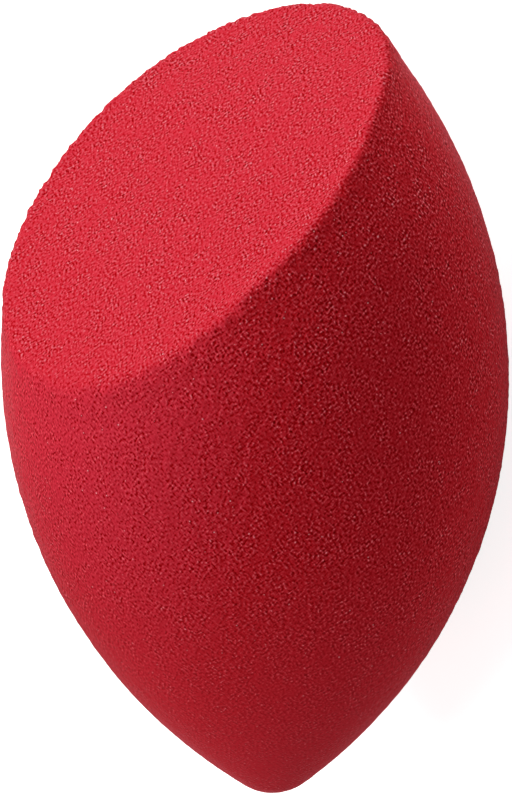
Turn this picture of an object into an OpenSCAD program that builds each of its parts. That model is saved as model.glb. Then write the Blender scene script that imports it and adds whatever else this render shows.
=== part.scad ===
// Makeup sponge with one slanted cut, lying on its side with the cut facing up.
// The head with the cut points along +X, the rounded tip along -X, and Z is up.
// The origin is on the table, under the middle of the sponge's outer box.

/* [Body] */
// Diameter of the widest ring (mm)
body_d = 40; // [32:0.5:52]
// Radius of the side's curve from the widest ring down to the tip (mm)
tip_side_r = 40.2; // [34:0.1:60]
// Radius of the side's curve from the widest ring up to the head (mm)
head_side_r = 42.6; // [36:0.1:60]
// Radius of the rounded tip (mm)
tip_r = 4.3; // [3:0.1:6]

/* [Cut] */
// Angle between the long axis and the direction that the cut faces (degrees)
cut_angle = 42.3; // [36:0.1:48]
// Distance from the middle of the widest ring to the cut (mm)
cut_depth = 15.7; // [13:0.1:19]
// Radius of the cut's gentle bow along its length (mm)
bow_r = 140; // [100:1:400]
// How far the bow's crown lies toward the head (mm)
bow_crown = 6; // [0:0.5:8]
// Length of the flat band across the crown of the bow (mm)
flat_l = 16; // [8:1:18]

/* [Rest] */
// How far the tip hangs below the head when the sponge lies at rest (degrees)
rest_lean = 6.7; // [0:0.1:12]
// How much the foam is pressed flat where it rests on the table (mm)
seat_depth = 0.5; // [0.2:0.1:1]

/* [Hidden] */

foam_rgb_shares = [0.76, 0.13, 0.19];
$fn = 144;

// Angle at which the tip's circle crosses the side's curve
tip_turn = 4;

belly_r = body_d / 2;
// Half size of the cutting shapes that are larger than the sponge
reach = 2 * bow_r;

// The side curves are centred on the level of the widest ring
tip_side_x = belly_r - tip_side_r;
head_side_x = belly_r - head_side_r;

// The tip's circle sits on the long axis, far enough down to cross the side's curve
tip_gap_sq = pow(tip_side_r, 2) + pow(tip_r, 2) - 2 * tip_side_r * tip_r * cos(tip_turn);
tip_y = -sqrt(tip_gap_sq - pow(tip_side_x, 2));
// Below this level the tip's circle shapes the outline
tip_from = tip_y + tip_r * tip_y / sqrt(tip_gap_sq);

// How much the flat band takes off the crown of the bow
flat_drop = bow_r - sqrt(pow(bow_r, 2) - pow(flat_l / 2, 2));

// Where the cut ends at the head, in the plane through the long axis: [across, along]
cut_facing = [sin(cut_angle), cos(cut_angle)];
cut_along = [-cos(cut_angle), sin(cut_angle)];
bow_centre = (cut_depth - bow_r) * cut_facing + bow_crown * cut_along;
head_end = circles_meet(bow_centre, bow_r, [-head_side_x, 0], head_side_r);

// The outer box in the resting pose, before the sponge is moved onto the origin
box_front = head_end[1] * cos(rest_lean) - head_end[0] * sin(rest_lean);
box_back = tip_y * cos(rest_lean) - tip_r;
box_bottom = seat_depth - tip_side_x * cos(rest_lean) - tip_side_r;

// One of the two points where circles about a and b meet, on the left going from a to b
function circles_meet(a, a_r, b, b_r) =
    let (d = norm(b - a), along = (b - a) / d,
         near = (pow(d, 2) + pow(a_r, 2) - pow(b_r, 2)) / (2 * d),
         off = sqrt(pow(a_r, 2) - pow(near, 2)))
    a + near * along + off * [-along[1], along[0]];

// Half outline of the uncut sponge, with the long axis upright
module half_outline() {
    // From the widest ring to the head
    intersection() {
        translate([head_side_x, 0]) circle(r = head_side_r);
        square([belly_r, reach]);
    }
    // From the widest ring to the tip
    intersection() {
        translate([tip_side_x, 0]) circle(r = tip_side_r);
        translate([0, -reach]) square([belly_r, reach]);
        union() {
            translate([0, tip_y]) circle(r = tip_r);
            translate([-reach, tip_from]) square([2 * reach, reach]);
        }
    }
}

// Everything on the kept side of the cut, which faces +Z here with its length along X
module below_cut() {
    intersection() {
        translate([0, 0, -bow_r]) rotate([90, 0, 0])
            cylinder(r = bow_r, h = 2 * body_d, center = true);
        translate([-reach, -reach, -flat_drop - 2 * reach]) cube(2 * reach);
    }
}

// The sponge standing on its tip, with the cut turned toward +X
module upright_sponge() {
    intersection() {
        rotate_extrude() half_outline();
        rotate([0, cut_angle, 0]) translate([-bow_crown, 0, cut_depth]) below_cut();
    }
}

// The sponge at rest, with its lowest side pressed flat on the table
module foam_body() {
    color(foam_rgb_shares)
    translate([-(box_front + box_back) / 2, 0, -box_bottom])
        intersection() {
            rotate([0, rest_lean - 90, 180]) upright_sponge();
            translate([-reach, -reach, box_bottom]) cube(2 * reach);
        }
}

foam_body();
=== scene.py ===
# A red makeup sponge with one slanted cut, lying on its side on a pale table
import math
import bmesh
import bpy
import numpy as np
from mathutils import Matrix, Vector, noise


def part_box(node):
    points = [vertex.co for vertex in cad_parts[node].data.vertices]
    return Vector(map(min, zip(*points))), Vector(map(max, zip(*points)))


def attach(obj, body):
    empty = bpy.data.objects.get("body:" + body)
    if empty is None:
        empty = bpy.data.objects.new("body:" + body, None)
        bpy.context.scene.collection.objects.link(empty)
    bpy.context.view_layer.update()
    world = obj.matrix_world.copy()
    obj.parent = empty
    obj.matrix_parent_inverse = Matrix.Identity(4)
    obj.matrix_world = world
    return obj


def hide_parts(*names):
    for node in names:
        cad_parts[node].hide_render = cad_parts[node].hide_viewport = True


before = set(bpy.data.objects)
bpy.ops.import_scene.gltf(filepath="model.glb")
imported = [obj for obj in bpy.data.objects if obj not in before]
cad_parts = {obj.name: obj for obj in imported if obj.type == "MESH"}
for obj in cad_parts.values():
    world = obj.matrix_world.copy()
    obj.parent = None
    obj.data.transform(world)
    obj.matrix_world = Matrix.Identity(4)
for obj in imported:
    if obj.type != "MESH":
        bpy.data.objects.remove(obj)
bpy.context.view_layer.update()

boxLow, boxHigh = (np.array(corner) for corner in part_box("foam_body"))
scene = bpy.context.scene
white = (1, 1, 1, 1)
print("frame loaded, the block is", (boxHigh - boxLow).round(4), "m")

# Shape of the foam block, in metres and degrees
foamShape = {
    # as in the CAD
    "tipSideR": 0.0402,      # side curve from the widest ring to the tip
    "headSideR": 0.0426,     # side curve from the widest ring to the head
    "tipR": 0.0043,          # rounded tip
    "tipTurn": 4,            # angle at which the tip's circle meets the side curve
    "cutAngle": 42.3,        # between the long axis and the way the cut faces
    "cutDepth": 0.0157,      # from the middle of the widest ring to the cut
    "bowR": 0.14,            # gentle bow of the cut
    "bowCrown": 0.006,       # how far the bow's crown lies toward the head
    "flatLength": 0.016,     # flat band across the crown
    "restLean": 6.7,         # how far the tip hangs below the head
    "seatDepth": 0.0005,     # foam pressed flat on the table
    # finish that the CAD leaves out
    "rimR": 0.00022,         # rounding of the cut's rim
    "rimLip": 0.00012,       # how far the rim stands out
    "rimReach": 0.0012,      # how far from the rim the lip dies away
    "rimBlend": 0.0004,      # width over which the cut's look gives way to the skin's
    "shoulderFlare": 0.0003,     # how far the side stands out under the rim at the head's shoulders
    "shoulderAt": 0.0246,    # from the widest ring to the shoulders, along the axis
    "shoulderLength": 0.002,     # how far the flare reaches along the axis
    "shoulderDepth": 0.0025,     # how far the flare reaches under the cut
    "seatEdgeR": 0.0004,     # soft edge of the pressed place
    # making of the mesh
    "facesAcross": 126,      # faces along each side of the cube the skin starts from
    "halvings": 40,          # steps in which a ray finds the skin
    "relaxRounds": 30,       # rounds of evening out the faces
    "relaxPull": 0.6,        # share of the way that a point moves toward its neighbours in a round
    "slopeStep": 0.00001,    # distance over which the skin's slope is measured
}


def blockPlace(shape):
    # where the middle of the widest ring is, and the block's axes there
    lean = math.radians(shape["restLean"])
    bellyR = (boxHigh[1] - boxLow[1]) / 2
    tipSideX = bellyR - shape["tipSideR"]
    turnCos = math.cos(math.radians(shape["tipTurn"]))
    # from the middle of the tip's circle to the middle of the side curve, squared
    gapSq = shape["tipSideR"] ** 2 + shape["tipR"] ** 2 - 2 * shape["tipSideR"] * shape["tipR"] * turnCos
    tipAlong = -math.sqrt(gapSq - tipSideX ** 2)
    bellyX = boxLow[0] + shape["tipR"] - tipAlong * math.cos(lean)
    bellyZ = tipSideX * math.cos(lean) + shape["tipSideR"] - shape["seatDepth"]
    return {
        "belly": np.array((bellyX, 0, bellyZ)),
        "longAxis": np.array((math.cos(lean), 0, math.sin(lean))),     # toward the head
        "sideAxis": np.array((0, 1, 0)),
        "cutAxis": np.array((-math.sin(lean), 0, math.cos(lean))),     # the side that the cut is on
        "tipSideX": tipSideX,
        "headSideX": bellyR - shape["headSideR"],
        "tipAlong": tipAlong,
        "tipFrom": tipAlong * (1 + shape["tipR"] / math.sqrt(gapSq)),
    }


def roundedBoth(gapA, gapB, radius):
    # distance to what lies inside both shapes, with their shared edge rounded
    a, b = gapA + radius, gapB + radius
    return np.minimum(np.maximum(a, b), 0) + np.hypot(np.maximum(a, 0), np.maximum(b, 0)) - radius


def sideGap(along, ring, shape, place):
    # the turned side: two long arcs that meet at the widest ring, and the rounded tip
    headSide = np.hypot(ring - place["headSideX"], along) - shape["headSideR"]
    tipSide = np.hypot(ring - place["tipSideX"], along) - shape["tipSideR"]
    tipCap = np.hypot(ring, along - place["tipAlong"]) - shape["tipR"]
    return np.where(along > 0, headSide, np.where(along > place["tipFrom"], tipSide, tipCap))


def cutGap(along, across, shape):
    # the slanted cut: a gentle bow with a flat band across its crown
    angle = math.radians(shape["cutAngle"])
    facing, slope = (math.sin(angle), math.cos(angle)), (-math.cos(angle), math.sin(angle))
    bowIn = shape["cutDepth"] - shape["bowR"]
    bowAcross = bowIn * facing[0] + shape["bowCrown"] * slope[0]
    bowAlong = bowIn * facing[1] + shape["bowCrown"] * slope[1]
    bow = np.hypot(across - bowAcross, along - bowAlong) - shape["bowR"]
    flatDrop = shape["bowR"] - math.sqrt(shape["bowR"] ** 2 - (shape["flatLength"] / 2) ** 2)
    flat = across * facing[0] + along * facing[1] - shape["cutDepth"] + flatDrop
    return np.maximum(bow, flat)


def sideAndCutGaps(points, shape, place):
    # how far each point lies outside the side and outside the cut, negative inside
    fromBelly = points - place["belly"]
    along = fromBelly @ place["longAxis"]
    across = fromBelly @ place["cutAxis"]
    side = sideGap(along, np.hypot(across, fromBelly[:, 1]), shape, place)
    cut = cutGap(along, across, shape)
    fromShoulder = (along - shape["shoulderAt"]) / shape["shoulderLength"]
    flare = shape["shoulderFlare"] * np.exp(-fromShoulder ** 2 - (cut / shape["shoulderDepth"]) ** 2)
    return side - flare, cut


def nearRim(side, cut, reach):
    # 1 at the cut's rim, dying away over the reach
    return np.exp(-(side ** 2 + cut ** 2) / reach ** 2)


def skinGap(points, shape, place):
    # the same for the whole block, with its rim and the edge of its seat rounded
    side, cut = sideAndCutGaps(points, shape, place)
    lip = shape["rimLip"] * nearRim(side, cut, shape["rimReach"])
    cutBlock = roundedBoth(side, cut, shape["rimR"]) - lip
    return roundedBoth(cutBlock, -points[:, 2], shape["seatEdgeR"])


def skinNormals(points, shape, place):
    # which way the skin faces at each point, from the slope of its gap
    slopes = [skinGap(points + shift, shape, place) - skinGap(points - shift, shape, place)
              for shift in np.eye(3) * shape["slopeStep"]]
    normals = np.stack(slopes, axis=1)
    return normals / np.linalg.norm(normals, axis=1, keepdims=True)


def castOutward(rays, core, shape, place):
    # the point where each ray from the core leaves the block, found by halving
    near, far = np.zeros(len(rays)), np.full(len(rays), boxHigh[0] * 2)     # far is past the block
    for halving in range(shape["halvings"]):
        middle = (near + far) / 2
        inside = skinGap(core + rays * middle[:, None], shape, place) < 0
        near, far = np.where(inside, middle, near), np.where(inside, far, middle)
    return core + rays * near[:, None]


def relaxSkin(points, edges, shape, place):
    # each point moves toward its neighbours and back onto the skin, so that the faces grow even
    count = len(points)
    pull = shape["relaxPull"]
    ends = np.concatenate((edges[:, 0], edges[:, 1]))
    others = np.concatenate((edges[:, 1], edges[:, 0]))
    neighbours = np.bincount(ends, minlength=count)
    for turn in range(shape["relaxRounds"]):
        sums = [np.bincount(ends, weights=points[others, axis], minlength=count) for axis in range(3)]
        points = points * (1 - pull) + np.stack(sums, axis=1) / neighbours[:, None] * pull
        gaps = skinGap(points, shape, place)
        points = points - skinNormals(points, shape, place) * gaps[:, None]
    return points


# Real relief of the foam, in metres
foamRelief = {
    "cellSize": 0.00075,     # broken cells
    "cellDepth": 0.00006,
    "pitReach": 0.45,        # how far a pit reaches from the middle of its cell, in cells
    "lumpSize": 0.00055,     # uneven skin
    "lumpHeight": 0.00008,
    "waveSize": 0.007,       # slow unevenness by hand and mould
    "waveHeight": 0.00006,
    "cutGain": 0.85,         # the cut is smoother than the moulded side
    "rimGain": 2.6,          # the blade left the rim rougher
    "rimWidth": 0.0007,      # how far from the rim that dies away
    "calmGain": 0.35,        # the skin grows smoother toward the tip, between these places along X
    "calmFrom": -0.012,
    "calmTo": -0.028,
}


def reliefHeight(point, relief):
    cell = noise.voronoi(point / relief["cellSize"])[0][0]
    pit = max(0, 1 - cell / relief["pitReach"]) ** 2
    lump = noise.noise(point / relief["lumpSize"])
    wave = noise.noise(point / relief["waveSize"])
    return lump * relief["lumpHeight"] + wave * relief["waveHeight"] - pit * relief["cellDepth"]


def allHeights(points, cutShare, rimShare, relief):
    heights = np.array([reliefHeight(Vector(point), relief) for point in points])
    heights *= (1 + (relief["cutGain"] - 1) * cutShare) * (1 + (relief["rimGain"] - 1) * rimShare)
    calmPlaces = (relief["calmTo"], relief["calmFrom"])
    return heights * np.interp(points[:, 0], calmPlaces, (relief["calmGain"], 1))


def cubeMesh(name, facesAcross):
    # a cube from -1 to 1, with a grid of square faces on each side
    cube = bmesh.new()
    bmesh.ops.create_cube(cube, size=2)
    bmesh.ops.subdivide_edges(cube, edges=cube.edges, cuts=facesAcross - 1, use_grid_fill=True)
    mesh = bpy.data.meshes.new(name)
    cube.to_mesh(mesh)
    cube.free()
    return mesh


def cubeRays(cubePoints, place):
    # the cube becomes an even ball, and the ball is stretched like the block
    ball = np.tan(cubePoints * math.pi / 4)
    ball /= np.linalg.norm(ball, axis=1, keepdims=True)
    stretched = ball * (boxHigh - boxLow)
    rays = stretched @ np.array((place["longAxis"], place["sideAxis"], place["cutAxis"]))
    return rays / np.linalg.norm(rays, axis=1, keepdims=True)


def makeSponge(shape, relief, place):
    mesh = cubeMesh("foam_sponge", shape["facesAcross"])
    rays = cubeRays(np.array([vertex.co for vertex in mesh.vertices]), place)
    edges = np.array([edge.vertices for edge in mesh.edges])
    core = np.array((0, 0, boxHigh[2] / 2))     # well inside the block
    points = relaxSkin(castOutward(rays, core, shape, place), edges, shape, place)
    side, cut = sideAndCutGaps(points, shape, place)
    cutShare = np.clip(0.5 + (cut - side) / shape["rimBlend"], 0, 1)
    heights = allHeights(points, cutShare, nearRim(side, cut, relief["rimWidth"]), relief)
    points = points + skinNormals(points, shape, place) * heights[:, None]
    points[:, 2] = np.maximum(points[:, 2], 0)     # nothing reaches into the table
    mesh.vertices.foreach_set("co", points.ravel())
    mesh.polygons.foreach_set("use_smooth", [True] * len(mesh.polygons))
    mesh.attributes.new("cut_share", "FLOAT", "POINT").data.foreach_set("value", cutShare)
    mesh.update()
    sponge = bpy.data.objects.new("foam_sponge", mesh)
    scene.collection.objects.link(sponge)
    print("foam skin made,", len(mesh.polygons), "faces")
    return sponge


def addNode(tree, kind, inputs=None, **settings):
    node = tree.nodes.new(kind)
    for name, value in settings.items():
        setattr(node, name, value)
    for key, value in (inputs or {}).items():
        if isinstance(value, bpy.types.NodeSocket):
            tree.links.new(value, node.inputs[key])
        else:
            node.inputs[key].default_value = value
    return node


def mapRange(tree, value, fromMin, fromMax, toMin=0, toMax=1, curve="LINEAR"):
    node = addNode(tree, "ShaderNodeMapRange",
                   {"Value": value, "From Min": fromMin, "From Max": fromMax,
                    "To Min": toMin, "To Max": toMax}, interpolation_type=curve)
    return node.outputs["Result"]


def mixColor(tree, share, colorA, colorB):
    # a Mix node set to colours has its share in socket 0, its colours in 6 and 7, and its result in 2
    inputs = {0: share, 6: colorA, 7: colorB}
    return addNode(tree, "ShaderNodeMix", inputs, data_type="RGBA").outputs[2]


def mathNode(tree, operation, a, b, clamp=False):
    return addNode(tree, "ShaderNodeMath", {0: a, 1: b}, operation=operation, use_clamp=clamp).outputs[0]


def vectorMath(tree, operation, inputs):
    return addNode(tree, "ShaderNodeVectorMath", inputs, operation=operation).outputs["Vector"]


# Colours are linear, lengths in millimetres, and textures are counted per millimetre
foamLook = {
    "skin": {                # the moulded side
        # painted shade: pit and pore darken the base colour in the foam's open cells
        "pit": (0.17, 0, 0, 1),
        "pore": (0.42, 0, 0.002, 1),
        "base": (0.635, 0.0125, 0.023, 1),
        # painted highlight: fleck and gleam lighten the foam's cell walls
        "fleck": (1.0, 0.11, 0.145, 1),
        "gleam": (1.0, 0.42, 0.48, 1),
        "top": (0.71, 0.028, 0.054, 1),     # painted light: the base colour, a little paler on top, where the lamps fall
        "litTopFrom": 0.66,     # upward share of the skin's facing, over which the painted light fades in
        "litTopTo": 0.97,
    },
    "cut": {                 # where the blade opened the cells; the paler, pinker colours here are partly that and partly painted light, as this face meets the lamps
        # painted shade: pit and pore darken the base colour in the opened cells
        "pit": (0.22, 0, 0, 1),
        "pore": (0.50, 0, 0.004, 1),
        "base": (0.68, 0.0275, 0.050, 1),
        # painted highlight: fleck and gleam lighten the opened cell walls
        "fleck": (0.73, 0.130, 0.160, 1),
        "gleam": (0.73, 0.23, 0.27, 1),
    },
    "speck": (1.0, 0.55, 0.60, 1),
    # heights of the grain, in the noise's own units: from where the colour is full to where it ends
    "pitStops": (-0.36, -0.1),
    "poreStops": (-0.16, 0.01),
    "fleckStops": (0.32, 0),
    "gleamStops": (0.40, 0.19),
    "grainPerMm": 3.8,
    "noiseDetail": 1,
    "grainReach": 0.16,      # how far off the ground level is taken
    "groundShare": 0.8,      # how much of the ground level is taken off
    "specksPerMm": 2,
    "speckLot": 0.75,        # share of the cells without a speck
    "speckSize": 0.2,        # in cells
    "patchesPerMm": 0.6,     # rough and smooth patches
    "patchLevels": (0.3, 0.7),     # of their noise, from the smoothest to the roughest
    "patchSwing": 0.3,
    "headGain": 1.17,        # rougher toward the head, between these places along X
    "headFrom": 0,
    "headTo": 10,
    "topGain": 0.82,         # smoother on top of the moulded side
    "calm": (0.62, 0.020, 0.033, 1),     # the moulded skin seen without its grain
    "calmShare": 0.74,       # at the tip, growing between these places along X
    "calmFrom": -12,
    "calmTo": -28,
    "bumpDepth": 0.00002,    # metres
    "roughness": 0.9,
    "specular": 0.03,
    "sheen": 0.36,
    "sheenRoughness": 0.3,
    "sheenTint": (1, 0.46, 0.52, 1),
}


def noiseLevel(tree, spot, perMm, look):
    return addNode(tree, "ShaderNodeTexNoise",
                   {"Vector": spot, "Scale": perMm, "Detail": look["noiseDetail"]}).outputs["Fac"]


def grainHeight(tree, spot, normal, look):
    # noise less the mean of the noise around it on the surface, which leaves only fine grain
    slanted = vectorMath(tree, "CROSS_PRODUCT", {0: normal, 1: (1, 0, 0)})
    acrossSkin = vectorMath(tree, "NORMALIZE", {0: slanted})
    alongSkin = vectorMath(tree, "CROSS_PRODUCT", {0: normal, 1: acrossSkin})
    spots = [spot]
    for direction in (acrossSkin, alongSkin):
        step = vectorMath(tree, "SCALE", {0: direction, "Scale": look["grainReach"]})
        spots += [vectorMath(tree, operation, {0: spot, 1: step}) for operation in ("ADD", "SUBTRACT")]
    level, *around = [noiseLevel(tree, each, look["grainPerMm"], look) for each in spots]
    total = around[0]
    for other in around[1:]:
        total = mathNode(tree, "ADD", total, other)
    ground = mathNode(tree, "MULTIPLY", total, look["groundShare"] / len(around))
    # the noise swings about 0.5, and the rest of that goes too, so that the heights swing about 0
    middle = 0.5 * (1 - look["groundShare"])
    return mathNode(tree, "SUBTRACT", mathNode(tree, "SUBTRACT", level, ground), middle)


def foamMaterial(look):
    material = bpy.data.materials.new("red_foam")
    material.use_nodes = True
    tree = material.node_tree
    tree.nodes.clear()
    coords = addNode(tree, "ShaderNodeTexCoord")
    spot = vectorMath(tree, "SCALE", {0: coords.outputs["Object"], "Scale": 1000})     # in millimetres
    cutShare = addNode(tree, "ShaderNodeAttribute", attribute_name="cut_share").outputs["Fac"]

    # painted light: the skin grows paler as it faces up, toward the lamps
    facing = addNode(tree, "ShaderNodeSeparateXYZ", {"Vector": coords.outputs["Normal"]}).outputs["Z"]
    litTopShare = mapRange(tree, facing, look["skin"]["litTopFrom"], look["skin"]["litTopTo"])
    skinTopShare = mathNode(tree, "MULTIPLY", litTopShare, mathNode(tree, "SUBTRACT", 1, cutShare))

    # the grain is rougher in some patches and toward the head, softer on top, and fades toward the tip
    patches = noiseLevel(tree, spot, look["patchesPerMm"], look)
    swing = look["patchSwing"]
    patchGain = mapRange(tree, patches, *look["patchLevels"], 1 - swing, 1 + swing)
    along = addNode(tree, "ShaderNodeSeparateXYZ", {"Vector": spot}).outputs["X"]
    headGain = mapRange(tree, along, look["headFrom"], look["headTo"], 1, look["headGain"])
    topGain = mapRange(tree, skinTopShare, 0, 1, 1, look["topGain"])
    gain = mathNode(tree, "MULTIPLY", mathNode(tree, "MULTIPLY", patchGain, headGain), topGain)
    height = mathNode(tree, "MULTIPLY", grainHeight(tree, spot, coords.outputs["Normal"], look), gain)
    calmShare = mapRange(tree, along, look["calmFrom"], look["calmTo"], 0, look["calmShare"])
    # masks for painted shade (pit, pore) and painted highlight (fleck, gleam), taken from the grain's
    # height
    pitShadeShare, poreShadeShare, fleckHighlightShare, gleamShare = (
        mapRange(tree, height, *look[name], 1, 0, "SMOOTHSTEP")
        for name in ("pitStops", "poreStops", "fleckStops", "gleamStops"))

    # only a few cells of a coarser net hold a bright pale speck
    speckNet = addNode(tree, "ShaderNodeTexVoronoi", {"Vector": spot, "Scale": look["specksPerMm"]})
    lot = addNode(tree, "ShaderNodeSeparateColor", {"Color": speckNet.outputs["Color"]}).outputs["Green"]
    speckEdge = mapRange(tree, lot, look["speckLot"], 1, 0, look["speckSize"])
    speckShare = mapRange(tree, speckNet.outputs["Distance"], 0, speckEdge, 1, 0, "SMOOTHSTEP")

    # painted light: the skin's base colour turns paler on its upward-facing side
    skinBaseLitTop = mixColor(tree, litTopShare, look["skin"]["base"], look["skin"]["top"])
    # the cut's paler base is partly painted light, as the cut faces the lamps
    color = mixColor(tree, cutShare, skinBaseLitTop, look["cut"]["base"])
    pit, pore, fleck, gleam = (mixColor(tree, cutShare, look["skin"][name], look["cut"][name])
                               for name in ("pit", "pore", "fleck", "gleam"))
    # painted shade in the cells' hollows (pore, pit) and painted highlight on their walls (fleck, gleam)
    for share, other in ((fleckHighlightShare, fleck), (gleamShare, gleam), (poreShadeShare, pore), (pitShadeShare, pit),
                         (speckShare, look["speck"]), (calmShare, look["calm"])):
        color = mixColor(tree, share, color, other)

    raised = mathNode(tree, "ADD", mathNode(tree, "SUBTRACT", fleckHighlightShare, poreShadeShare), speckShare)
    bump = addNode(tree, "ShaderNodeBump",
                   {"Height": raised, "Distance": look["bumpDepth"], "Strength": 1})
    shader = addNode(tree, "ShaderNodeBsdfPrincipled", {
        "Base Color": color,
        "Roughness": look["roughness"],
        "Normal": bump.outputs["Normal"],
        "Specular IOR Level": look["specular"],
        "Sheen Weight": look["sheen"],
        "Sheen Roughness": look["sheenRoughness"],
        "Sheen Tint": look["sheenTint"],
    })
    addNode(tree, "ShaderNodeOutputMaterial", {"Surface": shader.outputs[0]})
    print("foam material made")
    return material


# Pale table, seen nearly white, that keeps a soft shadow
tableLook = {
    "size": 6,               # metres
    "tiles": 8,              # faces along each side
    "color": (0.88, 0.88, 0.88, 1),
    "glow": 0.86,            # what the camera sees on top of the lamps' light
    "farGlow": 1,            # the same where the lamps hardly reach
    "glowReach": (0.2, 0.7),     # metres from the middle, from the one to the other
}


def seenShare(tree):
    # 1 where the camera, a gloss or a clear thing looks, 0 for the light itself
    path = addNode(tree, "ShaderNodeLightPath")
    seen = mathNode(tree, "ADD", path.outputs["Is Camera Ray"], path.outputs["Is Glossy Ray"])
    return mathNode(tree, "ADD", seen, path.outputs["Is Transmission Ray"], clamp=True)


def makeTable(look):
    tiles, half = look["tiles"], look["size"] / 2
    sheet = bmesh.new()
    bmesh.ops.create_grid(sheet, x_segments=tiles, y_segments=tiles, size=half)
    mesh = bpy.data.meshes.new("table")
    sheet.to_mesh(mesh)
    sheet.free()
    table = bpy.data.objects.new("table", mesh)
    scene.collection.objects.link(table)
    material = bpy.data.materials.new("pale_table")
    material.use_nodes = True
    tree = material.node_tree
    tree.nodes.clear()
    matte = addNode(tree, "ShaderNodeBsdfDiffuse", {"Color": look["color"]})
    spot = addNode(tree, "ShaderNodeTexCoord").outputs["Object"]
    away = addNode(tree, "ShaderNodeVectorMath", {0: spot}, operation="LENGTH").outputs["Value"]
    glow = mapRange(tree, away, *look["glowReach"], look["glow"], look["farGlow"], "SMOOTHSTEP")
    strength = mathNode(tree, "MULTIPLY", seenShare(tree), glow)
    glowing = addNode(tree, "ShaderNodeEmission", {"Color": white, "Strength": strength})
    both = addNode(tree, "ShaderNodeAddShader", {0: matte.outputs[0], 1: glowing.outputs[0]})
    addNode(tree, "ShaderNodeOutputMaterial", {"Surface": both.outputs[0]})
    mesh.materials.append(material)
    print("table made")


# Angles are measured from the sponge's own axes, which is how the photograph was matched
photoCamera = {
    "turn": 44.4,            # round the long axis from the side that the cut faces
    "tilt": 8.0,             # above square to the long axis
    "roll": 2.7,
    "distance": 0.7,         # metres
    "lens": 400.2,           # millimetres
    "frameHeight": 36,       # sensor, along the picture's long side
    "aimRight": 0.00007,     # metres off the middle of the widest ring
    "aimUp": -0.0024,
}


def makeCamera(look, place):
    turn, tilt, roll = (math.radians(look[name]) for name in ("turn", "tilt", "roll"))
    # the sponge's axes as the camera sees them: right, up and toward the camera
    seen = Matrix.Rotation(roll, 3, "Z") @ Matrix.Rotation(tilt, 3, "X")
    cutSeen = seen @ Vector((-math.cos(turn), 0, math.sin(turn)))
    sideSeen = seen @ Vector((math.sin(turn), 0, math.cos(turn)))
    longSeen = seen @ Vector((0, 1, 0))
    cutAxis, longAxis = Vector(place["cutAxis"]), Vector(place["longAxis"])
    sideAxis = -Vector(place["sideAxis"])
    right, up, toward = (cutSeen[i] * cutAxis + sideSeen[i] * sideAxis + longSeen[i] * longAxis
                         for i in range(3))
    data = bpy.data.cameras.new("camera")
    data.sensor_fit = "VERTICAL"
    data.sensor_height = look["frameHeight"]
    data.lens = look["lens"]
    camera = bpy.data.objects.new("camera", data)
    camera.matrix_world = Matrix((right, up, toward)).transposed().to_4x4()
    camera.location = (Vector(place["belly"]) + right * look["aimRight"] + up * look["aimUp"]
                       + toward * look["distance"])
    scene.collection.objects.link(camera)
    scene.camera = camera
    print("camera made")


# Turned from +X toward +Y and raised from the table, in degrees, sizes in metres, power in watts
lightSetup = {
    "distance": 0.8,
    "size": 0.5,
    "lamps": {
        "key": {"turn": 15, "raise": 20, "power": 3.4},
        "fill": {"turn": -15, "raise": 20, "power": 0.4},
        "side": {"turn": 60, "raise": 50, "power": 1.45},
        "back": {"turn": 180, "raise": 50, "power": 0.86},
        "top": {"turn": 120, "raise": 80, "power": 2.95},
    },
    "sky": 0.01,
}


def makeLights(setup):
    for name, lamp in setup["lamps"].items():
        data = bpy.data.lights.new(name, "AREA")
        data.shape = "DISK"
        data.size = setup["size"]
        data.energy = lamp["power"]
        turn, rise = math.radians(lamp["turn"]), math.radians(lamp["raise"])
        outward = math.cos(rise)
        direction = Vector((math.cos(turn) * outward, math.sin(turn) * outward, math.sin(rise)))
        light = bpy.data.objects.new(name, data)
        light.location = direction * setup["distance"]
        light.rotation_euler = direction.to_track_quat("Z", "Y").to_euler()
        scene.collection.objects.link(light)

    world = bpy.data.worlds.new("studio")
    world.use_nodes = True
    tree = world.node_tree
    tree.nodes.clear()
    sky = addNode(tree, "ShaderNodeBackground", {"Color": white, "Strength": setup["sky"]})
    backdrop = addNode(tree, "ShaderNodeBackground", {"Color": white, "Strength": 1})
    mix = addNode(tree, "ShaderNodeMixShader",
                  {0: seenShare(tree), 1: sky.outputs[0], 2: backdrop.outputs[0]})
    addNode(tree, "ShaderNodeOutputWorld", {"Surface": mix.outputs[0]})
    scene.world = world
    print("lights made")


scene.view_settings.view_transform = "Standard"
place = blockPlace(foamShape)
makeCamera(photoCamera, place)
sponge = makeSponge(foamShape, foamRelief, place)
sponge.data.materials.append(foamMaterial(foamLook))
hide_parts("foam_body")
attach(sponge, "root")
makeTable(tableLook)
makeLights(lightSetup)
